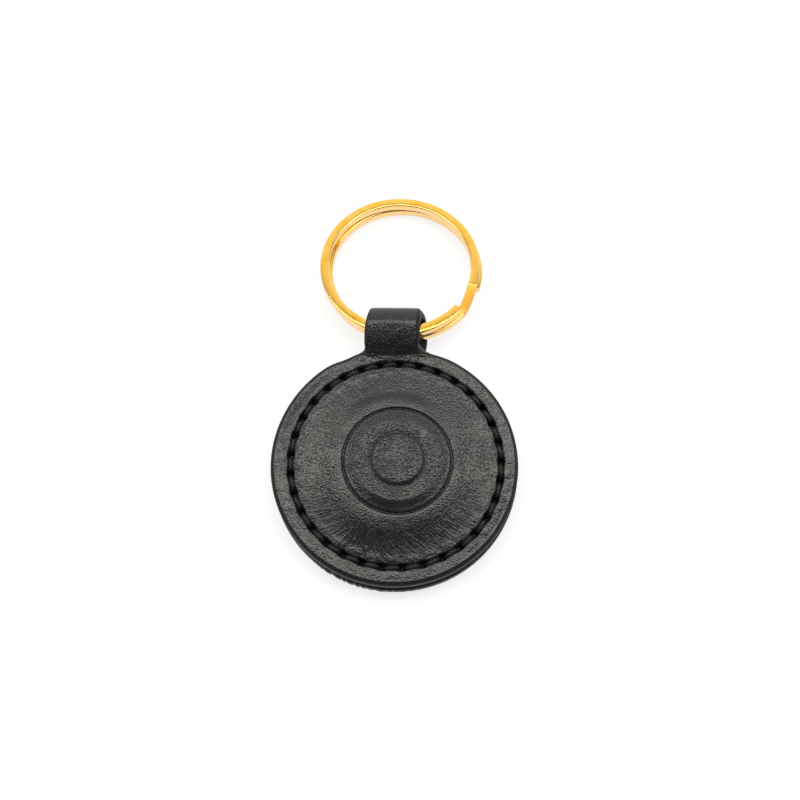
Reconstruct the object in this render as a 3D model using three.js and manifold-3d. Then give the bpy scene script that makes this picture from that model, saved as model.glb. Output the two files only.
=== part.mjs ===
// Round leather key fob with a flat tag sewn inside it, hung on a split ring.
// Millimetres, +Z up. The back lies on z = 0, the origin is under the middle of the disc,
// and the strap and the ring lie towards +Y.
import * as THREE from 'three';
import { mergeVertices } from 'three/addons/utils/BufferGeometryUtils.js';
import Module from 'manifold-3d';

// Leather discs
const DISC_RADIUS = 20;
const BACK_TOP = 2; // the back disc fills z = 0 to this height
const FRONT_BOTTOM = 2.15; // a thin seam is left between the discs
const RIM_TOP = 4.2;
const EDGE_BEVEL = 0.3;
const CREASE_RADIUS = 19.35; // where the burnished edge begins to turn down
const EDGE_TURN = 0.6; // height over which it turns
const EDGE_STEPS = 3;
const BACK_SHIFT = [0.03, -0.28]; // the back disc sits a little low behind the front one
const DISC_STEPS = 60;

// Front face over the tag
const PLATEAU_TOP = 5.0;
const PLATEAU_RADIUS = 9.4;
const RAMP_RADIUS = 15.7; // where the swell over the tag has run out
const RAMP_STEPS = 6;
const BOSS_CENTRE = [0.5, 0.1]; // a plain round boss pressed up in the leather
// From its foot to the flat button in its middle: radius, and height above the plateau
const BOSS_PROFILE = [[8.7, 0], [8.5, 0.16], [6.9, 0.55], [4.5, 0.55], [3.9, 0.87]];
const BOSS_STEPS = 40;
const CUT_CLEAR = 1; // how far a cut reaches past the face it opens

// Room for the tag between the discs
const POCKET_RADIUS = 12.95;
const POCKET_FLOOR = 1.7;
const POCKET_ROOF = 2.92;

// Stitching
const STITCH_COUNT = 33;
const STITCH_RADIUS = 17;
const STITCH_CENTRE = [0.25, -0.05];
const FIRST_HOLE = THREE.MathUtils.degToRad(1.2);
const THREAD_RADIUS = 0.4;
const THREAD_SIDES = 5;
const UPPER_THREAD_Z = 4.0;
const LOWER_THREAD_Z = 0.47;
const LOCK_Z = 2.085; // height at which the two threads hold each other
const LOCK_GAP = 0.13;
const DIP_HALF = 0.75; // half the length over which a thread goes down a hole
const HOLE_HALF_LENGTH = 0.92;
const HOLE_HALF_WIDTH = 0.58;
const HOLE_SIDES = 8;
const HOLE_OVERLAP = 0.1; // how far a hole reaches into its groove
const GROOVE_FLOOR = 3.5; // front groove
const GROOVE_ROOF = 0.97; // groove in the back
const GROOVE_HALF_WIDTH = 0.56;
const GROOVE_FLARE = 0.3; // how much wider the groove is at the leather's face

// Strap folded over the ring
const STRAP_THICKNESS = 1.5;
const FOLD_RADIUS = 3.8; // outside of the fold
const FOLD_Y = 23.2;
const FOLD_Z = FOLD_RADIUS + 0.02;
const ROOT_Y = 18.1; // the strap grows out of the front disc here
const ROOT_Z = 3.28;
const NECK_Y = 19.0; // the strap leaves the plane of the disc here
const NECK_REACH = 1.05; // how softly it bends up there
const RISE_END = 150; // degrees round the fold where the rising strap joins it
const FOLD_END = -105; // and where the back run leaves it
const FOLD_STEPS = 14;
const TAIL_Z = 1.95;
const TAIL_REACH = 1.3;
const TAIL_START_Y = 19.2;
const TAIL_END_Y = 13.6;
const TAIL_POCKET = { floor: 1.4, roof: 2.42, end: 13.35, clear: 0.3 };
const STRAP_CORNER = 0.3; // bevel along the strap's edges
const STRAP_STEPS = 44;
// Half width, sideways shift and thickness along the strap, from its root to its thinned tail
const STRAP_PLACES = [
  { at: 0, half: 7.0, shift: 0, thick: 1.64 },
  { at: 0.022, half: 6.1, shift: -0.02, thick: 1.62 },
  { at: 0.045, half: 5.45, shift: -0.1, thick: 1.6 },
  { at: 0.075, half: 4.85, shift: -0.35, thick: 1.57 },
  { at: 0.125, half: 4.48, shift: -0.7, thick: STRAP_THICKNESS },
  { at: 0.22, half: 4.32, shift: -0.78, thick: STRAP_THICKNESS },
  { at: 0.4, half: 4.05, shift: 0.05, thick: STRAP_THICKNESS },
  { at: 0.475, half: 4.25, shift: 0.5, thick: STRAP_THICKNESS },
  { at: 0.58, half: 4.35, shift: 0.8, thick: STRAP_THICKNESS },
  { at: 0.66, half: 4.35, shift: 0.8, thick: 1.35 },
  { at: 0.76, half: 4.3, shift: 0.75, thick: 0.74 },
  { at: 1, half: 4.1, shift: 0.75, thick: 0.7 },
];

// Split ring: two turns of flat wire with a crank between them
const WIRE_WIDTH = 1.62;
const WIRE_THICKNESS = 1.31;
const COIL_GAP = 0.42;
const COIL_SHIFT = 0.5; // the lower turn lies this far to the right of the upper one
const RING_OUTER_RADIUS = 13.87;
const RING_MID_RADIUS = RING_OUTER_RADIUS - WIRE_WIDTH / 2;
const WIRE_CORNER = 0.25;
const RING_X = 0.95;
const RING_AXIS = [FOLD_Y, FOLD_Z]; // the ring turns in the fold about this line along X
const WIRE_BEHIND_AXIS = 0.78; // the wire's nearest point lies this far towards the disc
const RING_FLOOR_GAP = 0.02;
const CRANK = { from: -42, to: -19, steps: 6 }; // degrees round the ring, 90 at its far side
const COIL_SWEEP = 338;
const COIL_STEPS = 36;

// Tag, from the bottom up
const TAG_RADIUS = 12.5;
const TAG_STEPS = 40;
const PAD = { radius: 11.5, bottom: 1.74, top: 1.84 };
const BACK_COVER = { radius: TAG_RADIUS, bottom: 1.88, top: 2.1 };
const BRIDGE_LAYER = { bottom: 2.14, top: 2.2 };
const INLAY = { radius: 12.2, bottom: 2.24, top: 2.34 };
const COIL_LAYER = { bottom: 2.38, top: 2.46 };
const CHIP_LAYER = { bottom: 2.38, top: 2.58 };
const FRONT_COVER = { radius: TAG_RADIUS, bottom: 2.62, top: 2.86 };
const ANTENNA = { turns: 6, outer: 11.3, pitch: 0.8, trace: 0.35, steps: 28 };
const BRIDGE_WIDTH = 0.9;
const CHIP_SIZE = 1.8;
const CHIP_GAP = 0.3;

// Cement between the discs, left open where the tail lies
const CEMENT = { inner: 13.2, outer: 15.8, bottom: 2.03, top: 2.12, open: 26, steps: 40 };

const wasm = await Module();
wasm.setup();

const FINISHES = {
  leather: { color: 0x2b2b2c, roughness: 0.55 },
  thread: { color: 0x111112, roughness: 0.7 },
  gold: { color: 0xe0a63a, roughness: 0.22, metalness: 1 },
  foil: { color: 0xc4c7cb, roughness: 0.35, metalness: 1 },
  film: { color: 0xdfe6e4, roughness: 0.25 },
  cover: { color: 0xf2f2f0, roughness: 0.4 },
  chip: { color: 0x1b1b1d, roughness: 0.3 },
  cement: { color: 0xcdbb8a, roughness: 0.6 },
  pad: { color: 0xd8d4c8, roughness: 0.6 },
};

// A closed mesh of positions only, without the flat triangles that a pole leaves behind
function cleanMesh(geometry) {
  const bare = geometry.clone();
  bare.deleteAttribute('normal');
  bare.deleteAttribute('uv');
  const merged = mergeVertices(bare, 1e-4);
  const index = merged.index.array;
  const kept = [];
  for (let i = 0; i < index.length; i += 3) {
    const [a, b, c] = index.slice(i, i + 3);
    if (a !== b && b !== c && c !== a) kept.push(a, b, c);
  }
  merged.setIndex(kept);
  return merged;
}

function solidOf(geometry) {
  const mesh = cleanMesh(geometry);
  const vertProperties = new Float32Array(mesh.attributes.position.array);
  const triVerts = new Uint32Array(mesh.index.array);
  return new wasm.Manifold(new wasm.Mesh({ numProp: 3, vertProperties, triVerts }));
}

function geometryOf(solid) {
  const mesh = solid.getMesh();
  const geometry = new THREE.BufferGeometry();
  geometry.setAttribute('position', new THREE.BufferAttribute(new Float32Array(mesh.vertProperties), 3));
  geometry.setIndex(Array.from(mesh.triVerts));
  geometry.computeVertexNormals();
  return geometry;
}

// Turned shape about the Z axis from points of radius and height
function turned(profile, steps, [x, y] = [0, 0]) {
  const points = profile.map(([r, z]) => new THREE.Vector2(r, z));
  const geometry = new THREE.LatheGeometry(points, steps);
  return geometry.rotateX(Math.PI / 2).translate(x, y, 0);
}

// Skin over rings of points, each clockwise as seen from the next; an open run gets flat ends
function skinned(rings, closed) {
  const count = rings[0].length;
  const positions = rings.flat().flatMap((p) => [p.x, p.y, p.z]);
  const index = [];
  const spans = closed ? rings.length : rings.length - 1;
  for (let i = 0; i < spans; i += 1) {
    const here = i * count;
    const next = ((i + 1) % rings.length) * count;
    for (let j = 0; j < count; j += 1) {
      const k = (j + 1) % count;
      index.push(here + j, next + k, here + k, here + j, next + j, next + k);
    }
  }
  if (!closed) {
    const last = (rings.length - 1) * count;
    for (let j = 1; j < count - 1; j += 1) {
      index.push(0, j, j + 1);
      index.push(last, last + j + 1, last + j);
    }
  }
  const geometry = new THREE.BufferGeometry();
  geometry.setAttribute('position', new THREE.Float32BufferAttribute(positions, 3));
  geometry.setIndex(index);
  geometry.computeVertexNormals();
  return geometry;
}

// Corners of a bevelled rectangle, counter-clockwise
function bevelledSection(halfWidth, halfHeight, bevel) {
  const w = halfWidth;
  const h = halfHeight;
  const b = bevel;
  return [
    [w, -h + b], [w, h - b], [w - b, h], [-w + b, h],
    [-w, h - b], [-w, -h + b], [-w + b, -h], [w - b, -h],
  ];
}

function flatDisc({ radius, bottom, top }) {
  const profile = [[0, bottom], [radius, bottom], [radius, top], [0, top]];
  return cleanMesh(turned(profile, TAG_STEPS));
}

function box(x0, x1, y0, y1, z0, z1) {
  const geometry = new THREE.BoxGeometry(x1 - x0, y1 - y0, z1 - z0);
  return geometry.translate((x0 + x1) / 2, (y0 + y1) / 2, (z0 + z1) / 2);
}

// Ring-shaped cutter along the stitch line; its wide end stands clear of the leather
function stitchGroove(floor, face, beyond) {
  const narrow = GROOVE_HALF_WIDTH;
  const wide = GROOVE_HALF_WIDTH + GROOVE_FLARE;
  const up = [
    [STITCH_RADIUS - narrow, floor], [STITCH_RADIUS + narrow, floor],
    [STITCH_RADIUS + wide, face], [STITCH_RADIUS + wide, beyond],
    [STITCH_RADIUS - wide, beyond], [STITCH_RADIUS - wide, face],
  ];
  const profile = floor < beyond ? up : up.toReversed();
  return solidOf(turned([...profile, profile[0]], DISC_STEPS, STITCH_CENTRE));
}

// Holes along the stitch line, from one height to another
function stitchHoles(bottom, top) {
  const outline = [];
  for (let i = 0; i < HOLE_SIDES; i += 1) {
    const turn = ((i + 0.5) / HOLE_SIDES) * 2 * Math.PI;
    outline.push(new THREE.Vector2(HOLE_HALF_LENGTH * Math.cos(turn), HOLE_HALF_WIDTH * Math.sin(turn)));
  }
  const shape = new THREE.Shape(outline);
  const holes = [];
  for (let i = 0; i < STITCH_COUNT; i += 1) {
    const angle = FIRST_HOLE + (i / STITCH_COUNT) * 2 * Math.PI;
    const hole = new THREE.ExtrudeGeometry(shape, { depth: top - bottom, bevelEnabled: false });
    hole.rotateZ(angle + Math.PI / 2);
    hole.translate(
      STITCH_CENTRE[0] + STITCH_RADIUS * Math.cos(angle),
      STITCH_CENTRE[1] + STITCH_RADIUS * Math.sin(angle),
      bottom,
    );
    holes.push(solidOf(hole));
  }
  return holes.reduce((all, hole) => all.add(hole));
}

// Room that the strap's tail takes up between the discs
function tailPocket(bottom, top) {
  const { half, shift } = STRAP_PLACES.at(-2);
  const reach = half + TAIL_POCKET.clear;
  const mouth = DISC_RADIUS + CUT_CLEAR;
  return solidOf(box(shift - reach, shift + reach, TAIL_POCKET.end, mouth, bottom, top));
}

// Centre line of the strap in the YZ plane: disc, rise, fold, back run, tail
function strapPath() {
  const radius = FOLD_RADIUS - STRAP_THICKNESS / 2;
  const at = (degrees) => {
    const angle = THREE.MathUtils.degToRad(degrees);
    return {
      point: new THREE.Vector3(0, FOLD_Y + radius * Math.cos(angle), FOLD_Z + radius * Math.sin(angle)),
      along: new THREE.Vector3(0, Math.sin(angle), -Math.cos(angle)),
    };
  };
  const bend = (start, startAlong, end, endAlong, reach) =>
    new THREE.CubicBezierCurve3(
      start,
      start.clone().addScaledVector(startAlong, reach),
      end.clone().addScaledVector(endAlong, -reach),
      end,
    );
  const root = new THREE.Vector3(0, ROOT_Y, ROOT_Z);
  const neck = new THREE.Vector3(0, NECK_Y, ROOT_Z);
  const tailStart = new THREE.Vector3(0, TAIL_START_Y, TAIL_Z);
  const tailEnd = new THREE.Vector3(0, TAIL_END_Y, TAIL_Z);
  const forward = new THREE.Vector3(0, 1, 0);
  const backward = new THREE.Vector3(0, -1, 0);
  const path = new THREE.CurvePath();
  path.add(new THREE.LineCurve3(root, neck));
  path.add(bend(neck, forward, at(RISE_END).point, at(RISE_END).along, NECK_REACH));
  for (let i = 0; i < FOLD_STEPS; i += 1) {
    const from = THREE.MathUtils.lerp(RISE_END, FOLD_END, i / FOLD_STEPS);
    const to = THREE.MathUtils.lerp(RISE_END, FOLD_END, (i + 1) / FOLD_STEPS);
    path.add(new THREE.LineCurve3(at(from).point, at(to).point));
  }
  path.add(bend(at(FOLD_END).point, at(FOLD_END).along, tailStart, backward, TAIL_REACH));
  path.add(new THREE.LineCurve3(tailStart, tailEnd));
  return path;
}

// Value of a named measure at a place along the strap
function strapMeasure(name, at) {
  const next = Math.max(1, STRAP_PLACES.findIndex((place) => place.at >= at));
  const [a, b] = STRAP_PLACES.slice(next - 1, next + 1);
  return THREE.MathUtils.mapLinear(at, a.at, b.at, a[name], b[name]);
}

function strap() {
  const path = strapPath();
  const across = new THREE.Vector3(1, 0, 0);
  const rings = [];
  for (let i = 0; i <= STRAP_STEPS; i += 1) {
    const at = i / STRAP_STEPS;
    const centre = path.getPointAt(at);
    const outward = new THREE.Vector3().crossVectors(across, path.getTangentAt(at)).normalize();
    const half = strapMeasure('half', at);
    const shift = strapMeasure('shift', at);
    const section = bevelledSection(half, strapMeasure('thick', at) / 2, STRAP_CORNER);
    rings.push(section.map(([x, z]) =>
      centre.clone().addScaledVector(across, shift + x).addScaledVector(outward, z)));
  }
  return skinned(rings, false);
}

function boss() {
  const slope = BOSS_PROFILE.map(([radius, height]) => [radius, PLATEAU_TOP + height]);
  const foot = slope[0][0];
  const top = slope.at(-1)[1];
  const profile = [[0, RIM_TOP], [foot, RIM_TOP], ...slope, [0, top]];
  return solidOf(turned(profile, BOSS_STEPS, BOSS_CENTRE));
}

// Front face from its edge inwards: the edge turns over, then the leather swells over the tag
function frontFace() {
  const profile = [];
  for (let i = 0; i <= EDGE_STEPS; i += 1) {
    const turn = ((i / EDGE_STEPS) * Math.PI) / 2;
    profile.push([
      THREE.MathUtils.lerp(CREASE_RADIUS, DISC_RADIUS, Math.cos(turn)),
      RIM_TOP - EDGE_TURN * (1 - Math.sin(turn)),
    ]);
  }
  for (let i = 0; i <= RAMP_STEPS; i += 1) {
    const share = i / RAMP_STEPS;
    const swell = THREE.MathUtils.smoothstep(share, 0, 1);
    profile.push([
      THREE.MathUtils.lerp(RAMP_RADIUS, PLATEAU_RADIUS, share),
      THREE.MathUtils.lerp(RIM_TOP, PLATEAU_TOP, swell),
    ]);
  }
  return [...profile, [0, PLATEAU_TOP]];
}

function frontPanel() {
  const disc = solidOf(turned([
    [0, POCKET_ROOF], [POCKET_RADIUS, POCKET_ROOF], [POCKET_RADIUS, FRONT_BOTTOM],
    [DISC_RADIUS - EDGE_BEVEL, FRONT_BOTTOM], [DISC_RADIUS, FRONT_BOTTOM + EDGE_BEVEL],
    ...frontFace(),
  ], DISC_STEPS));
  return geometryOf(
    disc
      .subtract(tailPocket(FRONT_BOTTOM - CUT_CLEAR, TAIL_POCKET.roof))
      .add(boss())
      .subtract(stitchGroove(GROOVE_FLOOR, RIM_TOP, RIM_TOP + CUT_CLEAR))
      .add(solidOf(strap()))
      .subtract(stitchHoles(TAIL_Z - CUT_CLEAR, GROOVE_FLOOR + HOLE_OVERLAP)),
  );
}

function backPanel() {
  const disc = solidOf(turned([
    [0, 0], [DISC_RADIUS - EDGE_BEVEL, 0], [DISC_RADIUS, EDGE_BEVEL],
    [DISC_RADIUS, BACK_TOP - EDGE_BEVEL], [DISC_RADIUS - EDGE_BEVEL, BACK_TOP],
    [POCKET_RADIUS, BACK_TOP], [POCKET_RADIUS, POCKET_FLOOR], [0, POCKET_FLOOR],
  ], DISC_STEPS, BACK_SHIFT));
  return geometryOf(
    disc
      .subtract(tailPocket(TAIL_POCKET.floor, BACK_TOP + CUT_CLEAR))
      .subtract(stitchGroove(GROOVE_ROOF, 0, -CUT_CLEAR))
      .subtract(stitchHoles(GROOVE_ROOF - HOLE_OVERLAP, BACK_TOP + CUT_CLEAR)),
  );
}

// A thread that lies along the stitch line and goes into each hole to the lock height
function thread(faceZ, lockZ) {
  const places = [0, 0.1, 0.2, 0.35, 0.65, 0.8, 0.9]; // shares of one stitch
  const pitch = (2 * Math.PI * STITCH_RADIUS) / STITCH_COUNT;
  const rings = [];
  for (let i = 0; i < STITCH_COUNT; i += 1) {
    for (const place of places) {
      const angle = FIRST_HOLE + ((i + place) / STITCH_COUNT) * 2 * Math.PI;
      const fromHole = Math.min(place, 1 - place) * pitch;
      const dip = fromHole < DIP_HALF ? Math.cos((fromHole / DIP_HALF) * (Math.PI / 2)) ** 2 : 0;
      const z = THREE.MathUtils.lerp(faceZ, lockZ, dip);
      const ring = [];
      for (let j = 0; j < THREAD_SIDES; j += 1) {
        const turn = (j / THREAD_SIDES) * 2 * Math.PI;
        const r = STITCH_RADIUS + THREAD_RADIUS * Math.cos(turn);
        ring.push(new THREE.Vector3(
          STITCH_CENTRE[0] + r * Math.cos(angle),
          STITCH_CENTRE[1] + r * Math.sin(angle),
          z + THREAD_RADIUS * Math.sin(turn),
        ));
      }
      rings.push(ring);
    }
  }
  return skinned(rings, true);
}

// Least distance between the corner points of a coil's rings that lie at least half a turn apart
function leastCoilGap(name, rings, apart) {
  let least = Infinity;
  for (let i = 0; i < rings.length; i += 1) {
    for (let k = i + apart; k < rings.length; k += 1) {
      for (const a of rings[i]) {
        for (const b of rings[k]) least = Math.min(least, a.distanceTo(b));
      }
    }
  }
  console.log(`${name}: least gap to itself ${least.toFixed(3)} mm`);
}

// Flat wire in the ring's own plane, centred on the ring
function splitRing() {
  const lift = (WIRE_THICKNESS + COIL_GAP) / 2;
  const places = [];
  for (let i = 0; i < COIL_STEPS; i += 1) {
    places.push({ degrees: CRANK.from - COIL_SWEEP + (COIL_SWEEP * i) / COIL_STEPS, climb: 0 });
  }
  for (let i = 0; i <= CRANK.steps; i += 1) {
    const share = i / CRANK.steps;
    const degrees = THREE.MathUtils.lerp(CRANK.from, CRANK.to, share);
    places.push({ degrees, climb: THREE.MathUtils.smoothstep(share, 0, 1) });
  }
  for (let i = 1; i <= COIL_STEPS; i += 1) {
    places.push({ degrees: CRANK.to + (COIL_SWEEP * i) / COIL_STEPS, climb: 1 });
  }
  const section = bevelledSection(WIRE_WIDTH / 2, WIRE_THICKNESS / 2, WIRE_CORNER);
  const rings = places.map(({ degrees, climb }) => {
    const angle = THREE.MathUtils.degToRad(degrees);
    const x = THREE.MathUtils.lerp(COIL_SHIFT / 2, -COIL_SHIFT / 2, climb);
    const z = THREE.MathUtils.lerp(-lift, lift, climb);
    return section.map(([u, v]) => new THREE.Vector3(
      x + (RING_MID_RADIUS + u) * Math.cos(angle),
      (RING_MID_RADIUS + u) * Math.sin(angle),
      z + v,
    ));
  });
  leastCoilGap('split_ring', rings, COIL_STEPS / 2);
  return skinned(rings, false);
}

// The ring lies with its near wire in the fold and its far side on the table
function placeRing(mesh) {
  const reach = RING_MID_RADIUS - WIRE_BEHIND_AXIS;
  const halfHeight = WIRE_THICKNESS + COIL_GAP / 2;
  const drop = RING_AXIS[1] - RING_FLOOR_GAP;
  const far = reach + RING_OUTER_RADIUS;
  const tilt = Math.asin(drop / Math.hypot(far, halfHeight)) - Math.atan2(halfHeight, far);
  mesh.rotation.x = -tilt;
  mesh.position.set(
    RING_X,
    RING_AXIS[0] + reach * Math.cos(tilt),
    RING_AXIS[1] - reach * Math.sin(tilt),
  );
  return mesh;
}

// Flat antenna, wound inwards from its outer end at +X
function antennaCoil() {
  const { turns, outer, pitch, trace, steps } = ANTENNA;
  const { bottom, top } = COIL_LAYER;
  const rings = [];
  for (let i = 0; i <= turns * steps; i += 1) {
    const turn = i / steps;
    const angle = turn * 2 * Math.PI;
    const radius = outer - pitch * turn;
    const corners = [
      [radius + trace / 2, bottom], [radius + trace / 2, top],
      [radius - trace / 2, top], [radius - trace / 2, bottom],
    ];
    rings.push(corners.map(([r, z]) => new THREE.Vector3(r * Math.cos(angle), r * Math.sin(angle), z)));
  }
  leastCoilGap('antenna_coil', rings, steps / 2);
  return skinned(rings, false);
}

const antennaInner = ANTENNA.outer - ANTENNA.pitch * ANTENNA.turns;
const chipX = antennaInner - ANTENNA.trace / 2 - CHIP_GAP - CHIP_SIZE / 2;

function chip() {
  const half = CHIP_SIZE / 2;
  return box(chipX - half, chipX + half, -half, half, CHIP_LAYER.bottom, CHIP_LAYER.top);
}

function antennaBridge() {
  const half = BRIDGE_WIDTH / 2;
  const end = ANTENNA.outer + half;
  return box(chipX - half, end, -half, half, BRIDGE_LAYER.bottom, BRIDGE_LAYER.top);
}

function cement() {
  const { inner, outer, bottom, top, open, steps } = CEMENT;
  const from = THREE.MathUtils.degToRad(90 + open);
  const to = THREE.MathUtils.degToRad(450 - open);
  const shape = new THREE.Shape();
  shape.absarc(0, 0, outer, from, to, false);
  shape.absarc(0, 0, inner, to, from, true);
  shape.closePath();
  const options = { depth: top - bottom, bevelEnabled: false, curveSegments: steps };
  return new THREE.ExtrudeGeometry(shape, options).translate(0, 0, bottom);
}

function part(name, geometry, finish) {
  const mesh = new THREE.Mesh(geometry, new THREE.MeshStandardMaterial(finish));
  mesh.name = name;
  return mesh;
}

const lockOffset = LOCK_GAP / 2 + THREAD_RADIUS;

const fob = new THREE.Group();
fob.add(
  part('front_panel', frontPanel(), FINISHES.leather),
  part('back_panel', backPanel(), FINISHES.leather),
  part('upper_thread', thread(UPPER_THREAD_Z, LOCK_Z + lockOffset), FINISHES.thread),
  part('lower_thread', thread(LOWER_THREAD_Z, LOCK_Z - lockOffset), FINISHES.thread),
  part('rim_adhesive', cement(), FINISHES.cement),
  part('tag_adhesive_pad', flatDisc(PAD), FINISHES.pad),
  part('tag_back_cover', flatDisc(BACK_COVER), FINISHES.cover),
  part('antenna_bridge', antennaBridge(), FINISHES.foil),
  part('inlay_sheet', flatDisc(INLAY), FINISHES.film),
  part('antenna_coil', antennaCoil(), FINISHES.foil),
  part('nfc_chip', chip(), FINISHES.chip),
  part('tag_front_cover', flatDisc(FRONT_COVER), FINISHES.cover),
);

const ring = new THREE.Group();
ring.add(placeRing(part('split_ring', splitRing(), FINISHES.gold)));

const keyFob = new THREE.Group();
keyFob.add(fob, ring);

export default keyFob;
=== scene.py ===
import math

import bpy
import numpy as np
from mathutils import Euler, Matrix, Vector, noise


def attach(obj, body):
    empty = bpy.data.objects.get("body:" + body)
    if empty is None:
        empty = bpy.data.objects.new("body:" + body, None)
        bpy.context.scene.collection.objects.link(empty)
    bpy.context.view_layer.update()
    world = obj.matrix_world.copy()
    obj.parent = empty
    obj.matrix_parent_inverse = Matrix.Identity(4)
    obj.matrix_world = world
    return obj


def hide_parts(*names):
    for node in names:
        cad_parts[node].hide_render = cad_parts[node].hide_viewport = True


# Leather key fob with a split ring. Shapes are worked out in millimetres, and makeMesh, stitchRow
# and makeRing turn them into metres.
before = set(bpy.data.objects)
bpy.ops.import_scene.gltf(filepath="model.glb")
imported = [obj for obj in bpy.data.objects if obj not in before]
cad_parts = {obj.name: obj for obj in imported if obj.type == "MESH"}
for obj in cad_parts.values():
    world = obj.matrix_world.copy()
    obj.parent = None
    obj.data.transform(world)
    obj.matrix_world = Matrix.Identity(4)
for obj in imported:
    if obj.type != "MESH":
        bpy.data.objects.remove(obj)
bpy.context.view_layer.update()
scene = bpy.context.scene
mm = 0.001
print("frame loaded:", len(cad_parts), "nodes")


# Camera

view = {
    "target": (0.846, 12.067, 0.0),
    "distance": 165.0,
    "elevation": 70.355,
    "roll": 0.393,  # degrees, the picture leans a little
    "lens": 43.87,
    "sensor": 36.0,
    "nearest": 5.0,
}


def placeCamera():
    data = bpy.data.cameras.new("camera")
    data.lens = view["lens"]
    data.sensor_width = view["sensor"]
    data.clip_start = view["nearest"] * mm
    camera = bpy.data.objects.new("camera", data)
    scene.collection.objects.link(camera)
    tip = math.radians(view["elevation"])
    away = Vector((0, -math.cos(tip), math.sin(tip)))
    camera.location = (Vector(view["target"]) + away * view["distance"]) * mm
    facing = (-away).to_track_quat("-Z", "Y")
    roll = Euler((0, 0, math.radians(view["roll"]))).to_quaternion()
    camera.rotation_euler = (facing @ roll).to_euler()
    scene.camera = camera


placeCamera()


# Node helpers

def addNode(tree, kind, inputs=None, **settings):
    made = tree.nodes.new(kind)
    for key, value in settings.items():
        setattr(made, key, value)
    feed(made, inputs or {})
    return made


# Sockets are linked and other values set; a node stands for its first output
def feed(node, inputs):
    for key, value in inputs.items():
        if isinstance(value, bpy.types.Node):
            value = value.outputs[0]
        if isinstance(value, bpy.types.NodeSocket):
            node.id_data.links.new(value, node.inputs[key])
        else:
            node.inputs[key].default_value = value


# The tree in which the first node or socket of these values is
def treeOf(values):
    return next(v for v in values if isinstance(v, (bpy.types.Node, bpy.types.NodeSocket))).id_data


def calc(operation, *values):
    return addNode(treeOf(values), "ShaderNodeMath", dict(enumerate(values)), operation=operation)


def plus(*values):
    return calc("ADD", *values)


def minus(*values):
    return calc("SUBTRACT", *values)


def times(*values):
    return calc("MULTIPLY", *values)


def vectorCalc(operation, inputs):
    return addNode(treeOf(inputs.values()), "ShaderNodeVectorMath", inputs, operation=operation)


def mapRange(value, fromRange, toRange=(0.0, 1.0), kind="LINEAR"):
    return addNode(value.id_data, "ShaderNodeMapRange", {
        "Value": value, "From Min": fromRange[0], "From Max": fromRange[1],
        "To Min": toRange[0], "To Max": toRange[1],
    }, interpolation_type=kind)


def ramp(value, stops):
    made = addNode(value.id_data, "ShaderNodeValToRGB", {0: value})
    made.color_ramp.interpolation = "EASE"
    while len(made.color_ramp.elements) < len(stops):
        made.color_ramp.elements.new(0.5)
    for element, (place, level) in zip(made.color_ramp.elements, stops):
        element.position = place
        shade = level if isinstance(level, tuple) else (level,) * 3
        element.color = (*shade, 1)
    return made


def mixColour(amount, first, second):
    first, second = ((*c, 1) if isinstance(c, tuple) else c for c in (first, second))
    # 6, 7 and 2 are this node's colour sockets
    mix = addNode(amount.id_data, "ShaderNodeMix", {0: amount, 6: first, 7: second}, data_type="RGBA")
    return mix.outputs[2]


def noiseAt(vector, size, detail=2.0, rough=0.5):
    return addNode(vector.id_data, "ShaderNodeTexNoise", {
        "Vector": vector, "Scale": 1 / size, "Detail": detail, "Roughness": rough})


def bumpOf(height, strength, depth):
    return addNode(height.id_data, "ShaderNodeBump", {
        "Height": height, "Strength": strength, "Distance": depth * mm})


def markOf(tree, name, output="Fac"):
    return addNode(tree, "ShaderNodeAttribute", attribute_name=name).outputs[output]


# Materials

def newMaterial(name):
    material = bpy.data.materials.new(name)
    material.use_nodes = True
    shader = material.node_tree.nodes["Principled BSDF"]
    place = addNode(material.node_tree, "ShaderNodeTexCoord").outputs["Object"]
    inMm = vectorCalc("SCALE", {0: place, "Scale": 1 / mm})
    return material, shader, inMm


# One noise drives the colour, the roughness and the bump
def noisyMaterial(name, grain, tones, roughness, bump, others):
    material, shader, inMm = newMaterial(name)
    spots = noiseAt(inMm, *grain)
    feed(shader, {
        "Base Color": ramp(spots, tones),
        "Roughness": ramp(spots, roughness),
        "Normal": bumpOf(spots, *bump),
        **others,
    })
    return material


leatherLook = {
    "colour": (0.019, 0.0188, 0.0183),
    "valleyShade": (0.003, 0.003, 0.003),  # painted shade in the valleys between pebbles
    "valleyShading": [(0.04, 0.0), (0.4, 1.0)],  # how much painted shade, from none on the top of a pebble to full in the valley
    "roughness": [(0.03, 0.14), (0.4, 0.3)],
    "grain": 0.32,  # size of one pebble
    "grainDepth": 0.062,
    "wander": 0.4,  # how far pebbles are pushed about
    "wanderScale": 1.4,
    "fine": (0.2, 2.0, 0.6),  # size, detail and roughness of the grain on the pebbles
    "fineShare": 0.2,
    "patch": 3.2,  # size of patches where the grain is fainter
    "fainter": [(0.3, 0.6), (0.65, 1.0)],
    "patchGloss": 0.16,
    "rubbed": 0.8,  # share of the grain that is gone on a smooth place
    "combed": 0.65,  # and under the strokes
    "strokeDepth": 0.115,  # of the pulled strokes round the tag
    "strokeWander": (1.2, 1.2, 0.4),
    # the strokes round the tag get a painted highlight along their tops
    "strokeHighlightColour": (0.04, 0.0397, 0.0385),
    "strokeHighlightTops": [(0.52, 0.0), (0.68, 1.0)],
    "speckHighlightColour": (0.16, 0.161, 0.162),  # painted highlight on the pebble tops where the strap is stretched
    "pebbleGlints": [(0.01, 1.0), (0.08, 0.0)],
    "ior": 1.5,
}


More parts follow.
